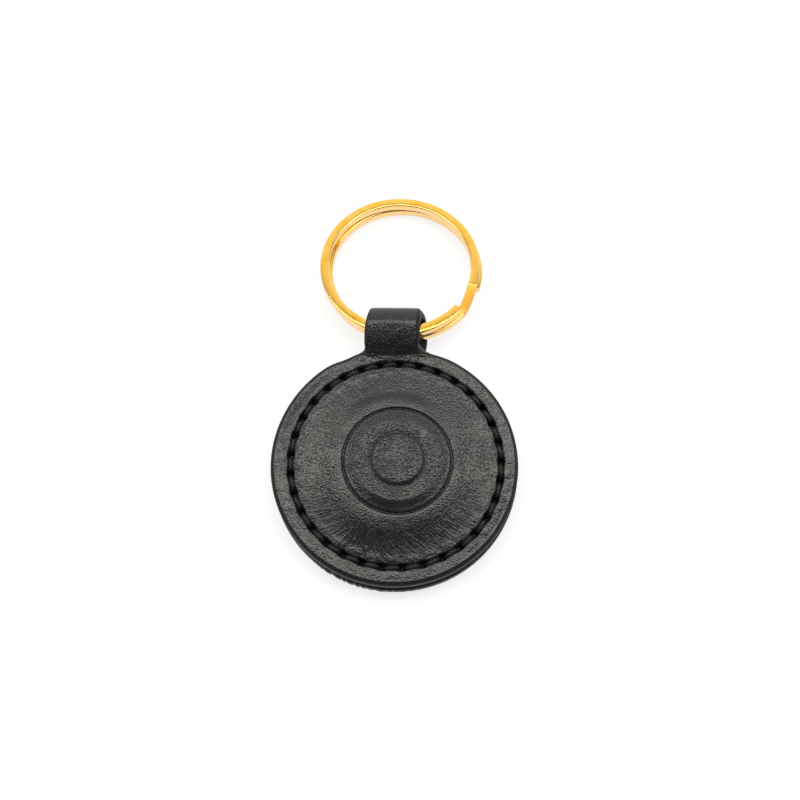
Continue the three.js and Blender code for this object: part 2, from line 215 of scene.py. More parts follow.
def leatherMaterial():
    look = leatherLook
    material, shader, inMm = newMaterial("black_leather")
    tree = material.node_tree
    crease, smooth = markOf(tree, "crease"), markOf(tree, "smooth")
    wobble = noiseAt(inMm, 1 / look["wanderScale"]).outputs["Color"]
    shifted = vectorCalc("MULTIPLY_ADD", {0: wobble, 1: (look["wander"],) * 3, 2: inMm})
    cell = addNode(tree, "ShaderNodeTexVoronoi", {
        "Vector": shifted, "Scale": 1 / look["grain"]}, feature="F1").outputs["Distance"]
    pebble = times(cell, cell)  # 0 on top of a pebble
    fine = noiseAt(inMm, *look["fine"])
    broad = noiseAt(inMm, look["patch"])
    fan = markOf(tree, "fan", "Vector")
    wavyFan = vectorCalc("MULTIPLY_ADD", {0: wobble, 1: look["strokeWander"], 2: fan})
    strokes = noiseAt(wavyFan, 1.0)

    # heights, in millimetres
    strokeHeight = times(minus(strokes, 0.5), times(crease, look["strokeDepth"]))
    bumps = minus(times(fine, look["fineShare"]), pebble)
    worn = plus(times(smooth, look["rubbed"]), times(crease, look["combed"]))
    kept = times(minus(1.0, worn), ramp(broad, look["fainter"]))
    grainHeight = times(bumps, times(kept, look["grainDepth"]))

    # the valleys between pebbles get painted shade
    tone = mixColour(ramp(pebble, look["valleyShading"]), look["colour"], look["valleyShade"])
    # painted highlight along the tops of the strokes
    strokeHighlightMask = times(ramp(strokes, look["strokeHighlightTops"]), crease)
    withStrokeHighlights = mixColour(strokeHighlightMask, tone, look["strokeHighlightColour"])
    # a smooth mark below -1 stands for stretched leather, whose pebble tops get a painted highlight
    stretched = calc("MAXIMUM", times(plus(smooth, 1.0), -0.5), 0.0)
    pebbleGlints = times(ramp(pebble, look["pebbleGlints"]), stretched)
    patchy = times(minus(broad, 0.5), look["patchGloss"])
    feed(shader, {
        "Base Color": mixColour(pebbleGlints, withStrokeHighlights, look["speckHighlightColour"]),
        "Roughness": plus(ramp(pebble, look["roughness"]), patchy),
        "Normal": bumpOf(plus(grainHeight, strokeHeight), 1.0, 1.0),
        "IOR": look["ior"],
    })
    return material


edgePaint = {
    "name": "edge_paint",
    "grain": (0.3, 3.0, 0.6),  # size, detail and roughness of the noise
    "tones": [(0.3, (0.007, 0.007, 0.007)), (0.75, (0.02, 0.02, 0.0195))],
    "roughness": [(0.3, 0.4), (0.8, 0.6)],
    "bump": (0.5, 0.05),  # strength and depth
    "others": {"Specular IOR Level": 0.25},
}

fleshSide = {
    "name": "flesh_side",
    "grain": (0.25, 5.0, 0.7),
    "tones": [(0.3, (0.008, 0.008, 0.008)), (0.75, (0.03, 0.0295, 0.029))],
    "roughness": [(0.3, 0.85), (0.75, 0.85)],
    "bump": (0.8, 0.08),
    "others": {},
}

waxedThread = {
    "name": "black_thread",
    "grain": (0.12, 3.0, 0.6),
    "tones": [(0.3, (0.005, 0.005, 0.0052)), (0.75, (0.019, 0.019, 0.0195))],
    "roughness": [(0.3, 0.45), (0.8, 0.75)],
    "bump": (0.5, 0.04),
    "others": {"Sheen Weight": 0.06},
}

goldLook = {
    "tones": [(0.3, (0.98, 0.52, 0.06)), (0.72, (0.99, 0.62, 0.14))],
    "side": (1.0, 0.78, 0.5),  # painted highlight on the sides of the wire, which makes them paler
    "sideHighlightShare": 0.5,
    "haze": (2.2, 4.0, 0.6),  # size, detail and roughness of the noise
    "scuffs": (0.35, 4.0, 0.65),
    "stretch": (1, 1, 4),
    "roughness": [(0.3, 0.12), (0.75, 0.22)],
    "bump": (0.03, 0.05),
    "bentRoughness": 0.5,  # more where the wire was bent
}


def goldMaterial():
    look = goldLook
    material, shader, inMm = newMaterial("gold_ring")
    stretched = vectorCalc("MULTIPLY", {0: inMm, 1: look["stretch"]})
    scuffs = noiseAt(stretched, *look["scuffs"])
    tone = ramp(noiseAt(stretched, *look["haze"]), look["tones"])
    # the paler sides of the wire are a painted highlight
    sideHighlightMask = times(markOf(material.node_tree, "side"), look["sideHighlightShare"])
    onBend = times(markOf(material.node_tree, "bent"), look["bentRoughness"])
    feed(shader, {
        "Base Color": mixColour(sideHighlightMask, tone, look["side"]),
        "Roughness": plus(ramp(scuffs, look["roughness"]), onBend),
        "Normal": bumpOf(scuffs, *look["bump"]),
        "Metallic": 1.0,
    })
    return material


def plainMaterial(name, low, high, size, roughness, metallic=0.0):
    tones = [(0.25, low), (0.75, high)]
    rough = [(0.2, roughness - 0.08), (0.8, roughness + 0.08)]
    return noisyMaterial(name, (size, 4.0, 0.6), tones, rough, (0.3, 0.02), {"Metallic": metallic})


leatherFinishes = [leatherMaterial(), noisyMaterial(**edgePaint), noisyMaterial(**fleshSide)]
thread = noisyMaterial(**waxedThread)
gold = goldMaterial()
print("materials made")


# Sizes of the leather

stitches = {
    "count": 33,
    "radius": 17.0,
    "centre": (0.25, -0.05),
    "firstHole": 1.2,  # degrees
    "columns": 14,  # mesh columns for each stitch
    "grooveDepth": 0.48,
    "grooveHalf": 0.52,
    "holeDepth": 1.3,
    "holeReach": 0.74,
    "outerPull": 0.14,  # how much wider the groove is at a hole
    "frontPull": 0.16,
    "backPull": 0.2,
    "backShare": 0.75,  # of the depth, on the back
    "puffs": ((15.75, 0.5, 0.07), (18.1, 0.4, 0.03)),  # radius, width and height, between holes
}

disc = {
    "radius": 20.0,
    "centre": (0.03, 0.08),  # of the cut edge
    "crease": 19.35,  # where the edge turns
    "bottom": 2.15,
    "pocketRadius": 12.95,
    "pocketWall": (0.15, -0.05),  # from that radius
    "pocketRoof": 2.92,
    "flank": 0.36,  # how far the outline is cut in left of the neck
    "flankFrom": 17.9,
    "flankAt": 115.0,
    "flankWidth": 6.0,
}

rim = {
    "top": 4.2,
    "lip": 0.08,  # its rise towards the edge
    "lipZone": (17.4, 19.1),
    "bead": 0.03,  # along the crease
    "beadWidth": 0.12,
    "droop": 0.32,  # its fall towards the edge at the upper left and the right
    "droopZone": (17.6, 19.3),
    "droops": ((152, 24, 1.0), (-18, 22, 0.7)),  # middle and width in degrees, share
    "neckLift": 0.2,  # towards the strap
    "neckZone": (16.9, 18.9),
    "neckMiddle": -0.4,
    "neckWidth": 5.5,
    "waveZone": (17.5, 17.9),
    "waves": 0.02,
    "sideWaves": 0.045,  # more at its sides
}

swell = {
    "height": 0.87,  # over the tag
    "tilt": 0.2,  # more of it below, less above
    "middle": 9.0,  # radius inside which above and below fade out
    # radii of its foot, its steepest place and its flat top, then its ease, where 1 is a straight cone
    "cone": ((16.0, -0.3), (10.9, -1.3), (8.8, 0.6), (1.21, -0.24)),  # each with its gain upwards
    "step": (12.9, 11.5, 8.7, 2.0),  # over the upper edge of the tag instead
    "stepZone": (0.72, 0.9),
    "skirt": 0.46,  # share of the rise that lies outside that step
    "skirtFoot": 15.8,
    "skirtTop": 12.5,
}

boss = {
    "centre": (0.5, 0.1),
    "foot": 8.7,
    "rise": 0.56,
    "wall": 0.18,  # the part of its rise that is steep
    "wallZone": (0.0, -0.3),  # from the foot
    "slopeZone": (-0.1, -2.3),
    "groove": (0.08, 0.19, 0.24),  # round the foot: distance, width and depth
    "button": 4.2,
    "buttonRise": 0.31,
    "buttonZone": (0.3, -0.35),
    "buttonGroove": (0.34, 0.16, 0.1),
}

unevenness = {  # size, height and seed
    "broad": (3.4, 0.03, 1.7),
    "fine": (1.3, 0.012, 6.3),
    "strap": (2.2, 0.025, 9.1),
    "back": (2.6, 0.012, 3.1),
}

strap = {
    "rootY": 17.7,
    "rootZ": 3.28,
    "neckY": 17.8,
    "neckReach": 1.8,
    "riseReach": 1.4,
    "foldCentre": (23.2, 3.82),
    "foldRadius": 3.05,  # of the middle of the leather
    "riseEnd": 150.0,
    "foldEnd": -105.0,
    "tailReach": 1.3,
    "tailStart": (19.2, 1.95),
    "tailEnd": (13.6, 1.95),
    "neckColumns": 22,  # columns either side of the middle that run on into the strap
    "filletRadius": 2.0,
    "rows": 120,
    "bentRows": 12,  # rows that go from the disc's curve to straight
    "thickZone": (19.1, 22.8),  # from the disc's thickness to the strap's
    "crown": 0.06,
    "crownBase": 0.04,
    "crownEnd": (12.5, 9.0),  # along the strap; the underside stays level
    # distance along the strap, half width, sideways shift, thickness
    "places": [
        (0.0, 4.48, 0.0, 1.64), (1.6, 4.48, -0.1, 1.6), (3.2, 4.48, -0.72, 1.5),
        (6.4, 4.32, -0.78, 1.5), (11.1, 4.05, 0.05, 1.5), (13.1, 4.45, 0.75, 1.5), (15.8, 4.55, 1.0, 1.5),
        (17.9, 4.5, 0.95, 1.35), (20.5, 4.3, 0.75, 0.74), (26.9, 4.1, 0.75, 0.7),
    ],
}

tailMouth = {"centre": 0.75, "half": 4.75, "from": 13.2, "roof": 2.46, "floor": 1.38, "ease": 0.5}

backDisc = {
    "shift": (0.12, -0.26),
    "top": 2.0,
    "bottom": 0.068,
    "pocketFloor": 1.7,
    "crease": 19.55,
}

columnCount = stitches["count"] * stitches["columns"]
columnTurn = math.radians(stitches["firstHole"]) + np.arange(columnCount) * 2 * math.pi / columnCount
neckMiddle = int(round((math.pi / 2 - columnTurn[0]) / (2 * math.pi) * columnCount))


# Curves

def smoothStep(low, high, value):
    share = np.clip((value - low) / (high - low), 0, 1)
    return share * share * (3 - 2 * share)


# From 0 at low to 1 at risen, and back from 1 at falling to 0 at gone
def band(low, risen, falling, gone, value):
    return smoothStep(low, risen, value) * smoothStep(gone, falling, value)


def ridge(value, centre, width):
    return np.exp(-((value - centre) / width) ** 2)


def angleRidge(degrees, centre, width):
    return ridge((degrees - centre + 180) % 360, 180, width)


def angleRidges(degrees, places):
    return sum(share * angleRidge(degrees, middle, width) for middle, width, share in places)


def undulation(x, y, size, seed):
    values = [noise.noise((a / size, b / size, seed)) for a, b in zip(x.ravel(), y.ravel())]
    return np.array(values).reshape(x.shape)


def uneven(x, y, kind):
    size, height, seed = unevenness[kind]
    return height * undulation(x, y, size, seed)


def bezier(a, b, c, d, count):
    t = np.linspace(0, 1, count)[:, None]
    a, b, c, d = (np.array(p, float) for p in (a, b, c, d))
    return (1 - t) ** 3 * a + 3 * (1 - t) ** 2 * t * b + 3 * (1 - t) * t * t * c + t ** 3 * d


# Middle line of the strap in the YZ plane, with the distance along it and its direction
def strapLine():
    centre = np.array(strap["foldCentre"])

    def onFold(degrees):
        turn = math.radians(degrees)
        return (centre + strap["foldRadius"] * np.array((math.cos(turn), math.sin(turn))),
                np.array((math.sin(turn), -math.cos(turn))))

    root = np.array((strap["rootY"], strap["rootZ"]))
    neck = np.array((strap["neckY"], strap["rootZ"]))
    tailStart, tailEnd = np.array(strap["tailStart"]), np.array(strap["tailEnd"])
    riseEnd, riseAlong = onFold(strap["riseEnd"])
    foldEnd, foldAlong = onFold(strap["foldEnd"])
    forward = np.array((1.0, 0.0))
    intoRise, intoTail = riseAlong * strap["riseReach"], forward * strap["tailReach"]
    pieces = [
        np.linspace(root, neck, 12),
        bezier(neck, neck + forward * strap["neckReach"], riseEnd - intoRise, riseEnd, 60),
        np.array([onFold(a)[0] for a in np.linspace(strap["riseEnd"], strap["foldEnd"], 120)]),
        bezier(foldEnd, foldEnd + foldAlong * strap["tailReach"], tailStart + intoTail, tailStart, 60),
        np.linspace(tailStart, tailEnd, 30),
    ]
    points = np.concatenate([pieces[0]] + [p[1:] for p in pieces[1:]])
    steps = np.linalg.norm(np.diff(points, axis=0), axis=1)
    along = np.concatenate([[0], np.cumsum(steps)])
    direction = np.gradient(points, along, axis=0)
    direction /= np.linalg.norm(direction, axis=1)[:, None]
    return along, points, direction


lineAlong, linePoints, lineDirection = strapLine()
strapLength = lineAlong[-1]


# One column of the strap's places, with its corners eased
def strapMeasure(column, along):
    places = np.array(strap["places"])
    fine = np.linspace(0, strapLength, 400)
    values = np.interp(fine, places[:, 0], places[:, column])
    reach = 20
    kernel = np.hanning(2 * reach + 1)
    eased = np.convolve(np.pad(values, reach, mode="edge"), kernel / kernel.sum(), mode="valid")
    return np.interp(along, fine, eased)


# From the flat cut pattern to space: x across, y along, w out of the leather
def foldLeather(x, y, w):
    along = y - strap["rootY"]
    inside = np.maximum(along, 0)
    pathY = np.interp(inside, lineAlong, linePoints[:, 0]) + np.minimum(along, 0)
    pathZ = np.interp(inside, lineAlong, linePoints[:, 1])
    alongY = np.interp(inside, lineAlong, lineDirection[:, 0])
    alongZ = np.interp(inside, lineAlong, lineDirection[:, 1])
    shift = strapMeasure(2, inside)
    return np.stack([x + shift, pathY - alongZ * w, pathZ + alongY * w], axis=-1)


# Heights of the faces

# Distance from the middle of the stitch circle, and along it from the nearest hole
def stitchPlace(x, y):
    cx, cy = stitches["centre"]
    reach = np.hypot(x - cx, y - cy)
    turn = np.arctan2(y - cy, x - cx) - math.radians(stitches["firstHole"])
    share = np.mod(turn / (2 * math.pi) * stitches["count"], 1)
    pitch = 2 * math.pi * stitches["radius"] / stitches["count"]
    return reach, np.minimum(share, 1 - share) * pitch


# How far the stitch line is drawn down into the leather
def stitchGroove(x, y, innerPull):
    reach, fromHole = stitchPlace(x, y)
    hole = ridge(fromHole, 0, stitches["holeReach"])
    offset = reach - stitches["radius"]
    width = stitches["grooveHalf"] + np.where(offset < 0, innerPull, stitches["outerPull"]) * hole
    across = np.clip(1 - (offset / width) ** 2, 0, 1) ** 1.5
    puff = sum(height * ridge(reach, place, size) for place, size, height in stitches["puffs"]) * (1 - hole)
    return (stitches["grooveDepth"] + stitches["holeDepth"] * hole) * across - puff


# From 0 at an eased foot to 1 on the flat over the tag
def swellShape(reach, foot, steep, top, ease):
    outer = np.clip((foot - reach) / (foot - steep), 0, 1)
    inner = np.clip((steep - reach) / (steep - top), 0, 1)
    rise = (foot - steep) / ease * outer ** ease + (steep - top) * (inner - inner ** 2 / 2)
    return rise / ((foot - steep) / ease + (steep - top) / 2)


def swellHeight(reach, y):
    upwards = y / np.maximum(reach, swell["middle"])
    cone = swellShape(reach, *(size + gain * upwards for size, gain in swell["cone"]))
    skirt = np.clip((swell["skirtFoot"] - reach) / (swell["skirtFoot"] - swell["skirtTop"]), 0, 1)
    step = skirt * swell["skirt"] + swellShape(reach, *swell["step"]) * (1 - swell["skirt"])
    full = swell["height"] - swell["tilt"] * upwards
    return full * (cone + (step - cone) * smoothStep(*swell["stepZone"], upwards))


def rimHeight(x, y, reach):
    atNeck = smoothStep(*rim["neckZone"], y) * ridge(x, rim["neckMiddle"], rim["neckWidth"])
    lip = rim["lip"] * smoothStep(*rim["lipZone"], reach)
    lip += rim["bead"] * ridge(reach, disc["crease"], rim["beadWidth"])
    falling = angleRidges(np.degrees(np.arctan2(y, x)), rim["droops"])
    droop = rim["droop"] * smoothStep(*rim["droopZone"], reach) * falling
    return rim["top"] + lip * (1 - atNeck) + rim["neckLift"] * atNeck - droop


def bossReach(x, y):
    return np.hypot(x - boss["centre"][0], y - boss["centre"][1])


def bossHeight(x, y):
    reach = bossReach(x, y)

    def rise(radius, zone):
        return smoothStep(radius + zone[0], radius + zone[1], reach)

    def groove(radius, away, width, depth):
        return depth * ridge(reach, radius + away, width)

    height = boss["wall"] * rise(boss["foot"], boss["wallZone"])
    height += (boss["rise"] - boss["wall"]) * rise(boss["foot"], boss["slopeZone"])
    height += boss["buttonRise"] * rise(boss["button"], boss["buttonZone"])
    return height - groove(boss["foot"], *boss["groove"]) - groove(boss["button"], *boss["buttonGroove"])


def frontTop(x, y):
    reach = np.hypot(x, y)
    height = rimHeight(x, y, reach) + swellHeight(reach, y) + bossHeight(x, y)
    height -= stitchGroove(x, y, stitches["frontPull"])
    size, fineHeight, seed = unevenness["fine"]
    onRim = rim["waves"] + rim["sideWaves"] * (x / reach) ** 2
    waves = fineHeight + onRim * smoothStep(*rim["waveZone"], reach)
    return height + uneven(x, y, "broad") + waves * undulation(x, y, size, seed)


# 1 in the hollow for the tag
def pocket(x, y):
    return smoothStep(*disc["pocketWall"], np.hypot(x, y) - disc["pocketRadius"])


# 1 in the hollow for the end of the strap
def mouth(x, y):
    ease = tailMouth["ease"]
    side = smoothStep(tailMouth["half"] + ease, tailMouth["half"], np.abs(x - tailMouth["centre"]))
    return side * smoothStep(tailMouth["from"] - ease, tailMouth["from"], y)


def frontBottom(x, y):
    low = disc["bottom"]
    overTag = low + (disc["pocketRoof"] - low) * pocket(x, y)
    return np.maximum(overTag, low + (tailMouth["roof"] - low) * mouth(x, y))


def backTop(x, y):
    high = backDisc["top"]
    underTag = high + (backDisc["pocketFloor"] - high) * pocket(x, y)
    return np.minimum(underTag, high + (tailMouth["floor"] - high) * mouth(x, y))


def backBottom(x, y):
    groove = stitchGroove(x, y, stitches["backPull"]) * stitches["backShare"]
    return groove + backDisc["bottom"] + uneven(x, y, "back")


# Cut edges

edge = {
    "lean": 18,  # degrees, the slope at which the edge breaks from the face
    "turnSteps": (0.07, 0.2, 0.34, 0.48, 0.64, 0.82, 1.0),
    "bevelSteps": 4,
    # how far it stands out, how deep it turns at the top and how much it is bevelled below
    "disc": (0.65, 0.6, 0.12),
    "strap": (0.3, 0.3, 0.22),
    "tail": (0.2, 0.2, 0.15),
    "back": (0.45, 0.35, 0.35),
    "strapZone": (19.2, 22.5),
    "tailZone": (strap["rootY"] + 17.1, strap["rootY"] + 20.1),
    "aslant": 0.5,  # the right edge of the strap is cut aslant below the fold
    "aslantAcross": (2.0, 4.0),
    "aslantAlong": (20.6, 22.6, 26.5, 29.5),
    "frayed": 0.22,  # how ragged the back disc's edge is
    "frayedAt": (-110, 19),  # middle and width in degrees
    "frayedSize": 0.31,
    "frayedSeed": 5.5,
}


def edgeSizesFront(x, y):
    onStrap, onTail = smoothStep(*edge["strapZone"], y), smoothStep(*edge["tailZone"], y)
    proud, turn, bevel = (onDisc + (narrow - onDisc) * onStrap + (thin - narrow) * onTail
                          for onDisc, narrow, thin in zip(edge["disc"], edge["strap"], edge["tail"]))
    aslant = edge["aslant"] * smoothStep(*edge["aslantAcross"], x) * band(*edge["aslantAlong"], y)
    return proud + aslant, turn + aslant, bevel


def edgeSizesBack(x, y):
    proud, turn, bevel = (np.full_like(y, size) for size in edge["back"])
    frayed = edge["frayed"] * angleRidge(np.degrees(np.arctan2(y, x)), *edge["frayedAt"])
    return proud + frayed * undulation(x, y, edge["frayedSize"], edge["frayedSeed"]), turn, bevel


# Steps outwards and heights, from the upper face round to the lower one
def edgeProfile(sizes, topW, bottomW):
    proud, turn, bevel = sizes
    lean = math.radians(edge["lean"])
    profile = []
    for step in edge["turnSteps"]:
        a = lean + (math.pi / 2 - lean) * step
        away = (math.sin(a) - math.sin(lean)) / (1 - math.sin(lean))
        profile.append((proud * away, topW - turn * (1 - math.cos(a) / math.cos(lean))))
    profile.append((proud, (topW - turn + bottomW + bevel) / 2))
    for step in range(edge["bevelSteps"] + 1):
        a = math.pi / 2 * step / edge["bevelSteps"]
        profile.append((proud - bevel * (1 - math.cos(a)), bottomW + bevel * (1 - math.sin(a))))
    return profile


# Marks on the leather

marks = {
    "frontAbove": 3.6,  # height
    "strokes": (10.8, 12.6, 15.7, 16.7),  # radii between which the strokes round the tag start and end
    "strokesAt": ((-50, 46, 1.0), (-138, 38, 1.0), (118, 34, 0.9)),  # middle and width in degrees, share
    "strokeSkew": ((-138, 25, 0.45), (-85, 22, -0.9), (-50, 20, -0.3)),
    "strokeMiddle": 14.0,
    "strokeDensity": 46,
    "strokeLength": 0.4,
    "arcCentre": 0.3,  # rubbed arc above the boss
    "arc": (10.9, 1.1),
    "arcAt": (95, 42),
    "slope": (6.3, 6.9, 8.6, 8.9),  # smooth slope below the boss
    "slopeAt": (-90, 60),
    "foot": (9.6, 0.9),
    "footAt": (-90, 40),
    "footShare": 0.8,
    "pressed": 0.8,  # coarser grain on the boss
    "pressedOut": (8.4, 8.0),
    "foldFrom": (22.6, 23.6),  # rubbed top of the fold
    "foldAbove": 5.5,
    "strap": (18.8, 20.0, 22.2, 23.2),  # stretched front of the strap, with deeper grain and a painted highlight on its pebble tops
    "strapAbove": 3.9,
    "stretch": 3.0,
    "rimFrom": (17.7, 18.2),  # worn rim
    "rimWorn": 0.2,
    "rimSidesWorn": 0.25,
    "rimBelow": 18.5,
}


# Strokes round the tag, their direction, and places that are rubbed smooth or coarser than the rest; the
# strokes and the stretched strap also get painted highlights
def leatherMarks(points):
    x, y, z = points.T
    reach, fromBoss = np.hypot(x, y), bossReach(x, y)
    turn = np.arctan2(y, x)
    degrees = np.degrees(turn)
    onTop = z > marks["frontAbove"]
    strokes = band(*marks["strokes"], reach) * angleRidges(degrees, marks["strokesAt"]) * onTop
    away = (reach - marks["strokeMiddle"]) / marks["strokeMiddle"]
    bent = turn + angleRidges(degrees, marks["strokeSkew"]) * away
    fan = np.stack([marks["strokeDensity"] * np.cos(bent), marks["strokeDensity"] * np.sin(bent),
                    marks["strokeLength"] * reach], axis=1)

    arc = ridge(np.hypot(x - marks["arcCentre"], y), *marks["arc"])
    arc = arc * angleRidge(degrees, *marks["arcAt"]) * onTop
    slope = band(*marks["slope"], fromBoss) * angleRidge(degrees, *marks["slopeAt"]) * onTop
    foot = ridge(fromBoss, *marks["foot"]) * angleRidge(degrees, *marks["footAt"]) * onTop
    fold = smoothStep(*marks["foldFrom"], y) * (z > marks["foldAbove"])
    worn = marks["rimWorn"] + marks["rimSidesWorn"] * np.cos(turn) ** 2
    worn = worn * smoothStep(*marks["rimFrom"], reach) * onTop * (y < marks["rimBelow"])
    rubbed = np.clip(arc + fold + slope + marks["footShare"] * foot + worn, 0, 1)

    pressed = marks["pressed"] * smoothStep(*marks["pressedOut"], fromBoss) * (1 - slope) * onTop
    # the stretched strap gets deeper grain and a painted highlight on its pebble tops
    stretched = marks["stretch"] * band(*marks["strap"], y) * (z > marks["strapAbove"])
    return {"crease": np.clip(strokes, 0, 1), "fan": fan, "smooth": rubbed - stretched - pressed}


# Leather sheets

# Circles of the polar grid; their centres drift from the boss to the stitch line to the cut edge
def discRow(reach, centres):
    places = [c[0] for c in centres]
    cx = np.interp(reach, places, [c[1][0] for c in centres])
    cy = np.interp(reach, places, [c[1][1] for c in centres])
    cutIn = disc["flank"] * smoothStep(disc["flankFrom"], disc["crease"], reach)
    drawn = reach - cutIn * ridge(np.degrees(columnTurn), disc["flankAt"], disc["flankWidth"])
    return cx + drawn * np.cos(columnTurn), cy + drawn * np.sin(columnTurn)


def gridFaces(first, rowLength, rows, closed):
    column = np.arange(rowLength if closed else rowLength - 1)
    after = (column + 1) % rowLength
    faces = []
    for row in range(rows - 1):
        here, there = first + row * rowLength, first + (row + 1) * rowLength
        faces.append(np.stack([here + column, there + column, there + after, here + after], axis=1))
    return np.concatenate(faces)


def makeMesh(name, points, faces, materials, faceFinish, attributes):
    mesh = bpy.data.meshes.new(name)
    mesh.from_pydata([tuple(p) for p in points * mm], [], faces)
    for label, values in attributes.items():
        kind, field = ("FLOAT", "value") if values.ndim == 1 else ("FLOAT_VECTOR", "vector")
        stored = mesh.attributes.new(label, kind, "POINT")
        stored.data.foreach_set(field, values.astype(np.float32).ravel())
    for material in materials:
        mesh.materials.append(material)
    mesh.polygons.foreach_set("material_index", np.array(faceFinish, np.int32))
    mesh.shade_smooth()
    made = bpy.data.objects.new(name, mesh)
    scene.collection.objects.link(made)
    return made


# Half width of the strap inside its turned edge: the fillet at the neck first, then the cut strip
def strapHalf(y):
    side = strap["neckColumns"] * 2 * math.pi / columnCount
    reach = disc["radius"] + strap["filletRadius"]
    cx, cy = reach * math.sin(side), reach * math.cos(side)
    proud = edgeSizesFront(0, y)[0]
    radius = strap["filletRadius"] + proud
    rise = np.clip(cy - y, 0, radius)
    fillet = cx - np.sqrt(np.maximum(radius ** 2 - rise ** 2, 0))
    straight = strapMeasure(1, np.maximum(y - strap["rootY"], 0)) - proud
    return np.where(y < cy, fillet, straight)


# Flat grid of the strap, from the neck to its tail, with the height of both faces
def strapGrid(rimX, rimY, rimTop, rimBottom):
    side = strap["neckColumns"]
    neck = np.arange(neckMiddle - side, neckMiddle + side + 1)
    arcX, arcY = rimX[neck], rimY[neck]
    middle, half = (arcX[0] + arcX[-1]) / 2, (arcX[0] - arcX[-1]) / 2
    across = (arcX - middle) / half
    step = np.arange(1, strap["rows"] + 1)
    startY = arcY.max()
    rowY = startY + (strap["rootY"] + strapLength - startY) * step / strap["rows"]
    fade = np.clip(1 - step / strap["bentRows"], 0, 1) ** 1.5
    y = rowY[:, None] - fade[:, None] * (startY - arcY)[None, :]
    x = (middle * fade)[:, None] + strapHalf(y[:, 0])[:, None] * across[None, :]
    along = y - strap["rootY"]
    onStrap = smoothStep(*strap["thickZone"], y)
    halfThick = strapMeasure(3, along) / 2
    crown = strap["crown"] * (1 - np.abs(across) ** 3) + strap["crownBase"] + uneven(x, y, "strap")
    crown *= smoothStep(*strap["crownEnd"], along)
    topW = rimTop[neck] * (1 - onStrap) + (halfThick + crown) * onStrap
    bottomW = rimBottom[neck] * (1 - onStrap) - halfThick * onStrap
    return x, y, topW, bottomW, neck


